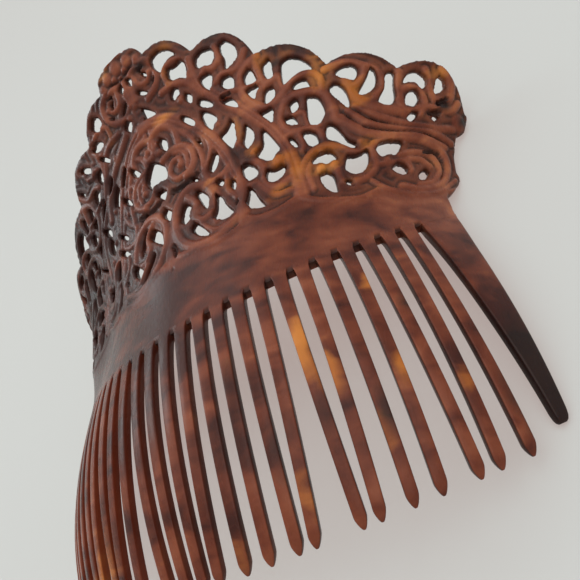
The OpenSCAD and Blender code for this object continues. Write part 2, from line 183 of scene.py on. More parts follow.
# The two halves differ in these, which the carver placed by eye
RIGHT_GAPS = [
    [(11.8, 74.6), (10.6, 77.4), (11.4, 79.9), (15, 80.1), (17.8, 78.6), (19.2, 76), (16.5, 76.9),
     (14, 76.4)],
    [(13.3, 71), (14.3, 74.4), (16.8, 73.4), (19.9, 74), (19.3, 70.5), (18.4, 68), (16.6, 70.2)],
    [(0.6, 71.9), (0.3, 66.9), (5.6, 65.9), (5.3, 67.5), (2.6, 70.2)],
    [(11.9, 64.8), (11.8, 67), (13.2, 68.3), (15, 68.2), (14.6, 66.2), (13.2, 66)],
    [(15.3, 62.4), (16.1, 65), (17.4, 64.4), (17.8, 63.2), (16.6, 61.3)],
    [(21.8, 68.6), (22.6, 71.6), (25.5, 72.2), (28.6, 71), (28, 68.7), (25.5, 67.2), (24, 68.6)],
    [(30.3, 70.6), (32.6, 70.8), (34.4, 68), (33.4, 64.6), (28.2, 63.4), (29.9, 66.2), (29.6, 68.2)],
    [(3.1, 57.5), (4.3, 58.7), (5.5, 57.3), (5.4, 55), (4.3, 53.6), (3.2, 55)],
    [(25.9, 50.3), (25.3, 46.8), (24.7, 43.6), (22.7, 41.2), (21.4, 44.2), (20.5, 46.9), (23.2, 47.6)],
    [(32, 42.3), (33.2, 40), (34.9, 34.5), (33.2, 33.8), (31.2, 32), (27.6, 35.5), (30.6, 37.3),
     (31.1, 40.2)],
    [(18.9, 44.7), (18.7, 41), (17, 38.7), (15, 38.2), (16, 40.6), (17.4, 42.4)],
    [(14.2, 50.7), (15.1, 51.2), (15.5, 48.5), (15.2, 46.8), (14.6, 47.3)],
    [(4.6, 28.3), (4.8, 31), (6.2, 34), (8.5, 33), (7, 31), (7.3, 29.1)],
    [(16, 30.8), (17.3, 30.3), (17.9, 27), (20.2, 23.6), (18, 22.4), (13.9, 23.8), (15.7, 26.8)],
    [(16.2, 34.2), (18.7, 34.8), (18.5, 33.2), (17.6, 32.5)],
    [(20.2, 29.6), (20.6, 31.8), (21.7, 32.9), (21.9, 31.4), (21.2, 29.5)],
]
LEFT_GAPS = [
    [(-17.4, 76.4), (-15.6, 79), (-13.4, 79.5), (-12.6, 77), (-14.8, 74.5)],
    [(-20.8, 72.8), (-16.2, 73.2), (-15.4, 70.9), (-20, 70.4)],
    [(-6, 69), (-4, 70.4), (-2.4, 70), (-3.8, 68), (-5, 66.9)],
    [(-18.9, 67.2), (-17.3, 68.4), (-15.4, 66), (-16.6, 64.9)],
    [(-29.2, 70.6), (-26.5, 70.9), (-24.4, 69.5), (-25.2, 67.7), (-27.6, 68.6)],
    [(-34.2, 66.6), (-32.6, 66.2), (-31.2, 64.5), (-33, 64.2)],
    [(-9.2, 56.4), (-7.8, 57), (-5.9, 53.8), (-7, 52.9), (-8.6, 53.8)],
    [(-14.8, 50.9), (-13.5, 50.8), (-12.1, 47.8), (-13, 47), (-14.6, 48.8)],
    [(-27.9, 48.3), (-26, 48.7), (-24.8, 46.8), (-25.4, 44.5), (-26.6, 45.6)],
    [(-20.2, 41.9), (-18.7, 41.7), (-16.8, 39.2), (-18, 38.6), (-19.4, 39.8)],
    [(-21.3, 37.1), (-19, 36.6), (-16.8, 33.8), (-19, 33.5), (-20.8, 35)],
    [(-34.4, 39.2), (-32.6, 38.6), (-30.2, 36.6), (-32, 36.2)],
    [(-6.8, 31.4), (-5.6, 33.3), (-4.4, 33.6), (-2.9, 31.6), (-2, 28), (-2.1, 26.4), (-4, 28.4), (-6, 30)],
    [(-14.8, 26.6), (-13.4, 28), (-11.4, 25), (-11.2, 23.4), (-13, 22.4), (-14.2, 24.4)],
]
# Gaps on the centre line
CENTRE_GAPS = [
    [(-1, 54.2), (2.9, 50.2), (2.3, 45.9), (-1, 47.2), (-4.3, 46.2), (-5, 49.2)],
    [(-2.6, 43.6), (1.4, 43.4), (0.7, 41.8), (-0.5, 40.2), (-1.7, 41.8)],
    [(0.2, 37.4), (1.6, 35.8), (1, 33.8), (0.2, 32.8), (-0.6, 33.8), (-1.2, 35.8)],
]

# Carved strands: half width, height of the ridge, then the points that its middle passes through
RIDGES = [
    # Long ribs
    (1.7, 0.75, [(-2, 66), (5, 64.4), (12, 59), (16.6, 52.5), (19.6, 45), (21.6, 37), (22.6, 28),
                 (21.5, 21)]),
    (0.9, 0.7, [(1, 63), (6, 61.2), (10, 57), (13, 52), (14, 46), (13.6, 42)]),
    (1.6, 0.75, [(19, 69), (21.4, 63), (24, 58), (28, 51.8), (31.6, 45.5), (35.2, 38), (36.4, 30),
                 (36.2, 20)]),
    (0.9, 0.7, [(24.5, 58.3), (28, 57.6), (32, 56), (36, 55.4)]),
    # First scallop
    (0.8, 0.7, [(12.3, 71), (12.6, 74.8), (15.8, 76), (18.4, 75.2)]),
    (1.1, 0.7, [(9.5, 70.4), (14, 70), (17.8, 67.6), (20, 63.5), (22.6, 60)]),
    (1.1, 0.7, [(1, 74), (2, 80), (6.4, 82), (10.2, 80.6), (10.9, 76.8), (8.6, 73.4), (5, 72)]),
    (0.8, 0.7, [(3.6, 80), (4.4, 77), (7, 76.2), (9, 78)]),
    (1.0, 0.7, [(0, 73), (0, 82)]),
    # Second scallop
    (1.1, 0.7, [(20.8, 73), (20.2, 68), (21, 63.6)]),
    (0.9, 0.7, [(22.4, 67), (24.2, 68), (25.6, 66.6)]),
    (0.9, 0.7, [(26, 66.6), (28.6, 68), (28.8, 71.6)]),
    (1.0, 0.7, [(25, 62.6), (27.4, 63.4), (32, 62.6), (35.4, 65.6)]),
    # Third scallop
    (1.2, 0.7, [(37.4, 62.4), (32.6, 61), (30.4, 56.6), (31.2, 51.6), (35, 47.8), (40, 49.6), (40.4, 54),
                (36.4, 54.2)]),
    (0.9, 0.7, [(36.4, 61), (36.2, 57), (36.2, 53.2)]),
    (0.9, 0.7, [(40, 49.4), (43.4, 51.2), (47.4, 51.2), (49.6, 48.4), (48.4, 44.6)]),
    (1.2, 0.7, [(39.4, 47), (44.6, 46.8), (48.6, 44.4), (49.8, 40), (49.6, 36), (54, 32)]),
    (0.9, 0.7, [(38.6, 46.4), (36.6, 42.4), (37.8, 38.2), (42, 36.8), (45, 36.2)]),
    (0.7, 0.7, [(40.2, 42), (42.6, 41.4), (42.6, 38)]),
    (0.9, 0.7, [(35.6, 37.4), (39.6, 37.2), (44.4, 35), (44.8, 31.4)]),
    (0.7, 0.7, [(39.6, 36), (39.9, 33), (39.2, 31)]),
    # Fourth scallop
    (1.0, 0.7, [(51.4, 50), (56, 49.8), (60, 47.6), (63.2, 44.6), (63.6, 40.6), (60, 38)]),
    (0.9, 0.7, [(54.6, 44), (57, 43), (59.8, 44.6), (60.6, 46.4)]),
    (1.3, 0.7, [(55.2, 45), (55.4, 41), (58, 37.4), (63, 34), (68.6, 32)]),
    # Fifth scallop
    (1.1, 0.7, [(66.6, 33), (66.4, 38), (68.6, 42.4)]),
    (0.9, 0.7, [(66.8, 34), (67.2, 37.4), (70, 38.2), (72.6, 36.4), (73, 33.2), (71, 31.2)]),
    (1.0, 0.7, [(75.8, 41.4), (75.4, 37), (76, 33.6)]),
    (1.2, 0.7, [(76.6, 33.4), (80, 33), (82, 36.4), (80.6, 40.6)]),
    (1.0, 0.7, [(70.6, 32.4), (75, 32), (80.4, 30.6), (83, 32)]),
    # Leafy field that runs to the right end
    (1.1, 0.7, [(50.6, 36), (53.6, 31.4), (60, 27.8), (68, 25.8), (76, 21.6)]),
    (1.0, 0.65, [(52.8, 37), (57, 31.8), (64, 28.8), (72, 26.4), (78.4, 22.4)]),
    (1.0, 0.6, [(55, 37.6), (60, 33), (66, 29.4), (74, 26.8), (80, 26)]),
    (0.9, 0.6, [(58.4, 38), (62.4, 34.4), (66.8, 31.6)]),
    # Central leaf
    (1.1, 0.9, [(8.4, 54.6), (8.2, 59), (5.4, 61.9), (1.6, 61.9), (-0.6, 59.4), (0.2, 56.6), (2.4, 55.6),
                (3.2, 57.4)]),
    (1.1, 0.9, [(1.6, 52.6), (5.6, 53.4), (9.6, 52.2), (11.6, 49), (11, 45.2), (8, 43.2)]),
    (0.9, 0.8, [(8.6, 44), (5, 44.2), (3.2, 47), (4.4, 49.8), (7, 49.8), (7.6, 47.6)]),
    (0.8, 0.7, [(6, 52.4), (8.8, 50.8), (9.6, 48), (9, 45.6)]),
    (1.0, 0.7, [(16.8, 52), (17.4, 46.8), (15.8, 43), (13.4, 40.6), (14.6, 36.6), (18, 36.4), (21, 38)]),
    # Loop beside the centre line
    (1.3, 0.75, [(14.8, 24.6), (15.6, 31), (13, 36.8), (7.2, 39), (2.6, 35.6), (1.8, 30), (3.6, 24.6),
                 (8, 20.6),
                 (14, 19.4), (20, 21.6)]),
    (1.0, 0.75, [(6.8, 36.6), (9.2, 33.4), (8.4, 29.6), (10.6, 27), (14, 27.4)]),
    (0.7, 0.6, [(10, 26), (12.4, 23), (15, 21.4), (19, 21.8)]),
    # Loop between the ribs
    (1.0, 0.7, [(22.6, 21.6), (22.4, 28), (23, 34.8), (26.6, 35.6), (29, 32), (28.6, 27.4), (31, 24.6),
                (34.6, 25.4)]),
    (0.8, 0.65, [(23.6, 28.6), (26.4, 28.6), (28, 26), (30.4, 22.6), (34.4, 22)]),
    (0.8, 0.65, [(19.4, 36), (18.8, 31.4), (21, 27), (20.6, 22)]),
    # Amber loop
    (0.9, 0.75, [(37.4, 19), (37.6, 25.6), (40.6, 29.6), (44.6, 30.4), (48.6, 28), (51.6, 25.2),
                 (55.6, 25.4)]),
    (0.8, 0.7, [(39.4, 19.6), (39.2, 25.4), (43.4, 29)]),
    (0.9, 0.7, [(46, 22.6), (46.4, 19.4), (49, 17.8), (53, 18), (55.6, 20.6), (55.4, 24.6)]),
    # Great spiral at the right end
    (1.1, 0.7, [(56.4, 26.2), (63, 26), (69.6, 24.2), (74.6, 20.4), (75.4, 15.6), (72, 11.4), (66, 10.6),
                (60.6, 12.8)]),
    (0.9, 0.65, [(62, 21.6), (66.6, 21.4), (71, 19.4), (72.4, 15.4), (69.6, 12.4), (65.6, 12.2)]),
    (0.8, 0.6, [(63.6, 20), (67.4, 19.2), (69.8, 16.8)]),
    (0.8, 0.6, [(56.6, 20.4), (58.4, 20.2), (63.4, 19.4), (64.2, 16.6)]),
    # Raised line under each loop, along the foot
    (0.7, 0.55, [(2.6, 21), (8, 19.2), (14, 17.6), (19.6, 18.4), (22.4, 20)]),
    (0.7, 0.55, [(21.6, 20.6), (25.6, 18.4), (30.4, 18), (35, 19.2)]),
    (0.7, 0.55, [(36.6, 18.4), (40, 16), (44.6, 14), (49.6, 12.6), (54.4, 13.4)]),
    (0.7, 0.55, [(53.4, 16.4), (57, 12.8), (63, 9.6), (70, 9), (77, 12)]),
]
# Strands of the left half alone
LEFT_RIDGES = [
    (1.3, 0.7, [(-3.6, 71), (-9, 66.8), (-14, 63.6), (-18.4, 60.2), (-22.4, 55.6), (-24.4, 50)]),
    (0.9, 0.7, [(-15.6, 46.6), (-16, 50.6), (-13, 53.4), (-9.8, 52), (-9.4, 48.4), (-12, 45.8)]),
    (0.9, 0.7, [(-11, 57.6), (-8.4, 59.6), (-5, 58), (-4.2, 54), (-6.6, 51.4), (-9.6, 52.6)]),
    (1.0, 0.65, [(-22, 60.6), (-26.4, 55), (-30, 48), (-31.6, 41), (-31, 33)]),
    (0.9, 0.6, [(-40, 34), (-37, 29), (-32, 26), (-28, 24.6)]),
]
# Beads and rolled ends: u, z, radius, height
BEADS = [
    (33, 31.6, 1.9, 1.0), (42.2, 24.4, 1.4, 0.8), (45.6, 24.2, 1.3, 0.8), (25, 67.2, 1.3, 0.8),
    (28, 67.2, 1.1, 0.8), (21.2, 51.2, 1.0, 0.8), (14, 64.8, 1.4, 0.8), (24.4, 42.4, 1.2, 0.8),
    (39.2, 31.4, 0.9, 0.7), (82, 27.4, 2.6, 0.7), (2.2, 58.2, 1.3, 1.1), (7, 47.4, 1.3, 1.1),
    (58.6, 21, 1.1, 0.7), (41.6, 42, 1.0, 0.7), (27.8, 37.8, 1.2, 0.7), (17.8, 75.4, 1.1, 0.8),
    (0, 85.6, 2.3, 0.55), (4.2, 85, 2, 0.55), (7.2, 83.4, 1.5, 0.6), (2.2, 83.4, 1.1, 0.6),
    (0, 80.2, 1.2, 0.8), (9.2, 30, 1.5, 0.8), (34.6, 53.8, 0.9, 0.7), (63.6, 18, 1.1, 0.6),
    (38.4, 54, 0.9, 0.7), (53.2, 28, 1.0, 0.6),
]
# Grooves and pits, in the form of the ridges, with the depth in place of the height
GROOVES = [
    (0.9, 1.1, [(2.4, 41.6), (6, 40.8), (11, 41.6)]),
    (0.4, 0.35, [(3, 65.2), (8, 62.6), (13, 57), (17, 50), (20, 42), (21.8, 33)]),
    (0.4, 0.35, [(21.4, 63.6), (25.6, 56), (30, 48.8), (33.6, 41.4), (36, 33), (36.4, 24)]),
    (0.45, 0.3, [(51.6, 37.4), (55, 32), (62, 28.4), (70, 26.2), (77, 22)]),
    (0.45, 0.3, [(54, 37.6), (58.6, 32.4), (65, 29), (73, 26.8)]),
    (0.5, 0.9, [(6, 80.4), (7.6, 80.6)]),
    (0.5, 0.9, [(7.2, 78.6), (7.6, 77.4)]),
    (0.5, 0.9, [(8.6, 74.8), (9.4, 75.4)]),
    (0.5, 0.9, [(20.6, 25.6), (20.8, 26.4)]),
    (0.7, 1.2, [(76.6, 32.8), (79.6, 33.4)]),
    (0.7, 1.2, [(73.4, 31), (76.6, 30.6)]),
    (0.6, 0.9, [(69, 21), (72.6, 20.2), (74, 18)]),
    (0.6, 1.0, [(24.6, 57.6), (27, 57.4)]),
    (0.5, 0.5, [(0, 81.8), (4.4, 82.8), (7, 81.6)]),
]
CENTRE_GROOVES = [
    (0.8, 2.6, [(0.6, 25), (1.2, 23.4), (1.6, 21.7)]),
    (0.4, 0.7, [(0.4, 18.2), (0.5, 17.8)]),
]

# Height of the line where the crest grows out of the band
SEAM_MIDDLE = 16.0
SEAM_FALL = 8.3
SEAM_HALF = 72.0
BAND_THICK = 2.3
CREST_THICK = 2.2
THIN_OVER = 6.0
FRONT_ROUND = 0.65
BACK_ROUND = 0.45
FIELD_DEPTH = 0.35
RIDGE_SPREAD = 1.2
RIDGE_POWER = 0.8
RUN_STEP = 0.7
# Fine veins in the ground between the strands
VEIN_HEIGHT = 0.2
VEIN_PITCH = 2.0
VEIN_REACH = 6.0
CARVE_SHARE = 0.9
# The plain band takes up this share of the carving's relief
BAND_SHARE = 0.5
# Low rounded rim along each gap
RIM_HEIGHT = 0.22
RIM_PLACE = 1.0
RIM_HALF = 1.0
# Least width of plastic outside a gap at the edge, and between gaps on the upper centre line
EDGE_STRAND = 1.7
CENTRE_STRAND = 0.9
CENTRE_STRAND_FOOT = 62.0
# Where the carving starts above the plain band: distance from the centre line, height
FOOT_LINE = np.array([
    (0, 31), (1.5, 26), (2.6, 21), (8, 19.2), (14, 17.6), (20, 18.4), (22, 20.4), (26, 18.4), (31, 18),
    (36, 19), (40, 16), (45, 14), (50, 12.6), (54, 13.4), (57, 12.8), (63, 9.6), (70, 9), (78, 9),
])
FOOT_BLEND = 1.0
# Share of a cell within which grid corners are moved onto the edge
SNAP = 0.3
# The band's ends are rounded from this far outside them
END_CLEAR = 0.1
# How far round a gap and a groove the grid is worked, the distance that stands for none near, the number
# of depths at which a gap is cut, and the parts in which the outline is worked to save memory
GAP_MARGIN = 6
GROOVE_MARGIN = 2
FAR_OFF = 9.0
CUT_DEPTHS = 7
OUTLINE_PARTS = 12


def slot_top(u):
    """Height of the slots' tops: a parabola in u."""
    return SLOT_RISE * (u / GUARD_PLACE)**2


def rounded(corners):
    """Closed outline whose corners are cut again and again at a fifth of each side."""
    p = np.array(corners, dtype=float)
    for _ in range(CORNER_CUTS):
        q = np.roll(p, -1, axis=0)
        p = np.stack([
            (1 - CORNER_SHARE) * p + CORNER_SHARE * q, CORNER_SHARE * p + (1 - CORNER_SHARE) * q,
        ], 1).reshape(-1, 2)
    return p


def side_distance(u, z, p, q):
    """Least distance from points to any of the straight sides that run from p to q."""
    du, dz = (q - p).T
    ru, rz = u[..., None] - p[:, 0], z[..., None] - p[:, 1]
    t = np.clip((ru * du + rz * dz) / (du**2 + dz**2), 0, 1)
    return np.sqrt(((ru - t * du)**2 + (rz - t * dz)**2).min(-1))


def outline_distance(u, z, p):
    """Signed distance from points to the closed outline p, positive inside: the least distance to any
    side, with the sign of the number of sides that a ray along u crosses."""
    q = np.roll(p, -1, axis=0)
    du, dz = (q - p).T
    ru, rz = u[..., None] - p[:, 0], z[..., None] - p[:, 1]
    spans = (p[:, 1] > z[..., None]) != (q[:, 1] > z[..., None])
    with np.errstate(divide="ignore", invalid="ignore"):
        crossing = ru < du * rz / dz
    inside = (spans & crossing).sum(-1) % 2 == 1
    return np.where(inside, 1, -1) * side_distance(u, z, p, q)


def smooth_run(points):
    """Points at even steps along the curve through the given ones, with the tangent at each parallel to
    the line between its neighbours (a Catmull-Rom run)."""
    p = np.array(points, dtype=float)
    p = np.vstack([2 * p[0] - p[1], p, 2 * p[-1] - p[-2]])
    runs = []
    for a, b, c, d in zip(p[:-3], p[1:-2], p[2:-1], p[3:]):
        n = max(2, int(np.hypot(*(c - b)) / RUN_STEP))
        t = np.arange(n)[:, None] / n
        square, cube = 2 * a - 5 * b + 4 * c - d, 3 * b - a - 3 * c + d
        runs.append(0.5 * (2 * b + (c - a) * t + square * t**2 + cube * t**3))
    return np.vstack(runs + [p[-2:-1]])


def window(u_line, z_line, points, margin):
    """Slices of the grid that hold the points and a margin round them."""
    ends = np.array([points.min(0) - margin, points.max(0) + margin])
    return tuple(slice(*np.searchsorted(line, ends[:, k])) for k, line in enumerate((u_line, z_line)))


def mirrored(table):
    """The table of runs followed by its mirror image in the centre line."""
    return table + [(*row, [(-u, z) for u, z in points]) for *row, points in table]


def crest_outline():
    """Closed outline of crest and band: each edge bulges outwards as a parabola between its corners."""
    half = []
    for (u0, z0, bulge), (u1, z1, _) in zip(CREST_EDGE[:-1], CREST_EDGE[1:]):
        t = np.arange(0, 1, EDGE_STEP)[:, None]
        run = np.array([u1 - u0, z1 - z0])
        out = np.array([-run[1], run[0]]) / np.hypot(*run)
        half.append(np.array([u0, z0]) + run * t + out * bulge * 4 * t * (1 - t))
    half.append(np.array([CREST_EDGE[-1][:2], *BAND_END]))
    u = np.linspace(BAND_HALF, 0, SLOT_LINE_POINTS)
    half.append(np.stack([u, slot_top(u)], 1))
    half = np.vstack(half)
    return np.vstack([half, half[-2:0:-1] * (-1, 1)])


# Line of sight from the comb's right: its slope along u at the crest's top and what the foot adds, the
# change for each millimetre to the right or left, and the same for its slope along z
LEAN_TOP, LEAN_FOOT, LEAN_FALL = -0.2, -1.45, 60
TURN_FOOT, TURN_FALL, TURN_LEFT = 0.04, 64, 1.35
RISE_FOOT, RISE_FALL = 1.5, 0.0105
RISE_RIGHT, RISE_RIGHT_FALL, RISE_LEFT = 0.014, 0.00012, 0.003


def sight_slope(u, z):
    """How far a line of sight moves along u and z for each millimetre that it goes down into the plate:
    two straight lines in u, steeper on the left half, whose factors fall off with z."""
    right, left = np.maximum(u, 0), np.maximum(-u, 0)
    turn = TURN_FOOT * np.exp(-z / TURN_FALL) * (right - TURN_LEFT * left)
    along_u = LEAN_TOP + LEAN_FOOT * np.exp(-z / LEAN_FALL) + turn
    along_z = RISE_FOOT - RISE_FALL * z - (RISE_RIGHT - RISE_RIGHT_FALL * z) * right + RISE_LEFT * left
    return np.array([along_u, along_z])


def ridge_shape(distance, half_width):
    """Round ridge of height one: one less the squared distance in half widths, to a power under one that
    makes it fuller."""
    return np.clip(1 - (distance / half_width)**2, 0, None)**RIDGE_POWER


def seam_height(u):
    """Height at which crest and band meet: a parabola in u."""
    return SEAM_MIDDLE - SEAM_FALL * (u / SEAM_HALF)**2


def run_distance(u, z, points):
    """Distance from points to a smooth run, taken to the nearest of its straight sides."""
    run = smooth_run(points)
    return side_distance(u, z, run[:-1], run[1:])


def carving(u_line, z_line):
    """What the carver did at each corner of a grid in the layout. Gives the distance inside the plastic,
    the distance from the nearest edge that is rounded, the height of the front and how far the carving
    has set in above the plain band."""
    u, z = np.meshgrid(u_line, z_line, indexing="ij")
    edge = crest_outline()
    edge_distance = np.concatenate([
        outline_distance(*part, edge)
        for part in zip(np.array_split(u, OUTLINE_PARTS), np.array_split(z, OUTLINE_PARTS))])
    edge_distance += EDGE_GROWTH * (z > seam_height(u))
    gap_distance, nearest, second = [np.full(u.shape, FAR_OFF) for _ in range(3)]
    outlines = [rounded(corners) for corners in GAPS + RIGHT_GAPS + LEFT_GAPS + CENTRE_GAPS]
    swept = [(p, sight_slope(*p.mean(0))) for p in outlines]
    swept += [(p * (-1, 1), slope * (-1, 1)) for p, slope in swept[:len(GAPS)]]
    gaps = []
    for p, slope in swept:
        w = window(u_line, z_line, p, GAP_MARGIN)
        here, *deeper = [GAP_SHRINK - outline_distance(u[w] - depth * slope[0], z[w] - depth * slope[1], p)
                         for depth in np.linspace(EDGE_DEPTH, WALL_DEPTH, CUT_DEPTHS)]
        gaps.append((w, here, np.min([here, *deeper], 0)))
        second[w] = np.minimum(second[w], np.maximum(nearest[w], here))
        nearest[w] = np.minimum(nearest[w], here)
    for w, here, reached in gaps:
        others = np.where(here <= nearest[w], second[w], nearest[w])
        gap_distance[w] = np.minimum(gap_distance[w], np.maximum(reached, LEAST_STRAND - others))
    foot = np.interp(np.abs(u), FOOT_LINE[:, 0], FOOT_LINE[:, 1])
    field, from_ridge = np.zeros(u.shape), np.full(u.shape, VEIN_REACH)
    for half_width, height, points in mirrored(RIDGES) + LEFT_RIDGES:
        half_width *= RIDGE_SPREAD
        w = window(u_line, z_line, np.array(points), half_width + VEIN_REACH)
        distance = run_distance(u[w], z[w], points)
        field[w] = np.maximum(field[w], height * ridge_shape(distance, half_width))
        from_ridge[w] = np.minimum(from_ridge[w], np.maximum(distance - half_width, 0))
    for u0, z0, radius, height in BEADS + [(-u0, *row) for u0, *row in BEADS]:
        field = np.maximum(field, height * ridge_shape(np.hypot(u - u0, z - z0), radius))
    veins = VEIN_HEIGHT * (0.5 - 0.5 * np.cos(2 * np.pi * from_ridge / VEIN_PITCH))
    field = np.maximum(CARVE_SHARE * field, RIM_HEIGHT * ridge_shape(gap_distance - RIM_PLACE, RIM_HALF))
    field = np.maximum(field, veins * (z > foot))
    for half_width, depth, points in mirrored(GROOVES) + CENTRE_GROOVES:
        w = window(u_line, z_line, np.array(points), half_width + GROOVE_MARGIN)
        field[w] -= CARVE_SHARE * depth * ridge_shape(run_distance(u[w], z[w], points), half_width)
    carved = np.clip((z - foot) / FOOT_BLEND, 0, 1)
    relief = field * (BAND_SHARE + (1 - BAND_SHARE) * carved) - FIELD_DEPTH * carved
    cut = np.maximum(gap_distance, EDGE_STRAND - edge_distance)
    cut = np.where(z > CENTRE_STRAND_FOOT, np.maximum(cut, CENTRE_STRAND - np.abs(u)), cut)
    sides = np.where(z > seam_height(u), edge_distance, BAND_HALF + END_CLEAR - np.abs(u))
    return u, z, np.minimum(edge_distance, cut), np.minimum(cut, sides), relief, carved


def quarter_round(distance, radius):
    """Fall of a rounded edge: a quarter circle from the full radius at the edge to none a radius inside."""
    t = radius - np.clip(distance, 0, radius)
    return radius - np.sqrt(np.clip(radius**2 - t**2, 0, None))


def clipped_grid(value, *carried):
    """Triangles of a grid that lie where value is positive, cut along its zero line. Each side that the
    line crosses gets a new corner, at the share of the way that its two values give. Gives the carried
    values at all corners that are used, and the triangles."""
    count = value.size
    number = np.arange(count).reshape(value.shape)
    a, b, c, d = number[:-1, :-1], number[1:, :-1], number[1:, 1:], number[:-1, 1:]
    chequer = np.add.outer(np.arange(a.shape[0]), np.arange(a.shape[1])) % 2 == 1
    first = np.where(chequer[..., None], np.stack([a, b, c], -1), np.stack([a, b, d], -1))
    second = np.where(chequer[..., None], np.stack([a, c, d], -1), np.stack([b, c, d], -1))
    faces = np.concatenate([first.reshape(-1, 3), second.reshape(-1, 3)])
    v = value.reshape(-1)
    kept = (v >= 0)[faces]
    whole = faces[kept.all(1)]
    corners = [np.stack([whole, whole], -1)]
    for turn in range(3):
        t, k = np.roll(faces, -turn, axis=1), np.roll(kept, -turn, axis=1)
        i, j, m = t[k[:, 0] & ~k[:, 1] & ~k[:, 2]].T
        corners.append(np.stack([i, i, i, j, i, m], -1).reshape(-1, 3, 2))
        i, j, m = t[k[:, 0] & k[:, 1] & ~k[:, 2]].T
        corners.append(np.stack([i, i, j, j, j, m], -1).reshape(-1, 3, 2))
        corners.append(np.stack([i, i, j, m, i, m], -1).reshape(-1, 3, 2))
    corners = np.concatenate(corners)
    start, end = corners[..., 0], corners[..., 1]
    end = np.where(v[start] == 0, start, end)
    keys, triangles = np.unique(start * count + end, return_inverse=True)
    triangles = triangles.reshape(-1, 3)
    p, q, r = triangles.T
    triangles = triangles[(p != q) & (q != r) & (r != p)]
    i, j = keys // count, keys % count
    share = np.where(i == j, 0, v[i] / np.where(i == j, 1, v[i] - v[j]))
    return [x.reshape(-1)[i] * (1 - share) + x.reshape(-1)[j] * share for x in carried], triangles


def snapped(value, u, z, reach):
    """Grid corners whose value is under reach are moved down or up its slope onto the zero line."""
    slope_u, slope_z = np.gradient(value, u[:, 0], z[0])
    near = np.abs(value) < reach
    move = np.where(near, value, 0)
    return np.where(near, 0, value), u - move * slope_u, z - move * slope_z


def closed_plate(front, back, triangles):
    """Corners and triangles of a plate: the front, the same triangles turned round on the back, and a
    wall of two triangles along each side that only one front triangle has."""
    n = len(front)
    sides = np.concatenate([triangles[:, [0, 1]], triangles[:, [1, 2]], triangles[:, [2, 0]]])
    forward, reverse = sides[:, 0] * n + sides[:, 1], sides[:, 1] * n + sides[:, 0]
    a, b = sides[~np.isin(forward, reverse)].T
    walls = np.concatenate([np.stack([b, a, a + n], 1), np.stack([b, a + n, b + n], 1)])
    return np.concatenate([front, back]), np.concatenate([triangles, triangles[:, ::-1] + n, walls])


SHARP_ANGLE = np.radians(55)


def new_piece(name, points, triangles, layout, shades):
    """Object with the given corners and triangles, its layout as a UV map and its shades as attributes.
    Sides that meet more steeply than the sharp angle aren't smoothed over."""
    mesh = bpy.data.meshes.new(name)
    mesh.vertices.add(len(points))
    mesh.vertices.foreach_set("co", points.astype(np.float32).ravel())
    mesh.loops.add(triangles.size)
    mesh.loops.foreach_set("vertex_index", triangles.astype(np.int32).ravel())
    mesh.polygons.add(len(triangles))
    mesh.polygons.foreach_set("loop_start", np.arange(0, triangles.size, 3, dtype=np.int32))
    mesh.update(calc_edges=True)
    mesh.polygons.foreach_set("use_smooth", np.ones(len(triangles), dtype=bool))
    mesh.set_sharp_from_angle(angle=SHARP_ANGLE)
    uv = mesh.uv_layers.new(name="layout")
    uv.data.foreach_set("uv", layout[triangles.ravel()].astype(np.float32).ravel())
    for key, values in shades.items():
        mesh.attributes.new(key, "FLOAT", "POINT").data.foreach_set("value", values.astype(np.float32))
    piece = bpy.data.objects.new(name, mesh)
    bpy.context.collection.objects.link(piece)
    return piece


# Patches where the mottling turns amber: u, z, reach along u and z, strength
AMBER = [
    (16.5, 80.5, 5, 2.5, 1.0), (38.5, 61.5, 2.2, 3, 1.0), (45, 59.5, 5, 2.5, 0.7), (51, 53.5, 3, 4.5, 1.0),
    (49, 48, 3, 3, 0.9), (55, 42.5, 3, 4.5, 1.0), (57.4, 39, 3, 2.6, 0.8), (33, 31.6, 2.4, 2.2, 1.2),
    (27.6, 38.2, 2.6, 2.4, 1.1), (25.6, 46.5, 1.6, 4, 0.9), (44, 28.5, 6, 3, 1.0), (43.6, 24, 4, 1.8, 1.1),
    (36.5, 28, 1.8, 5, 0.7), (53.5, 22, 2, 4, 0.55), (31.5, 23, 3, 1.4, 0.9), (48.5, 18.5, 3, 2, 0.5),
    (66, 32, 4, 2.4, 0.3), (79, 40, 4, 2.4, 0.7), (8, 63.5, 6, 1.8, 0.6), (19, 32, 3, 3, 0.5),
    (14, 36, 2.5, 3, 0.5), (12.8, 73, 2, 3, 0.6), (55, 27, 2.4, 1.6, 0.8), (-12.5, 70, 4, 5, 0.5),
    (-5.5, 87, 2.5, 1.4, 0.9), (32.6, -17.5, 1.8, 5.5, 1.2), (36.6, -23.5, 2, 4, 1.1),
    (47.5, -10, 2, 2.2, 0.9), (49, -27.5, 1.8, 2.6, 1.1), (58, -34, 1.6, 3, 0.7), (27, -42, 2, 6, 0.4),
    (42, -38, 2, 6, 0.4), (12, -45, 2.5, 7, 0.45), (-22, -40, 6, 8, 0.7), (-30, -46, 8, 6, 0.6),
]
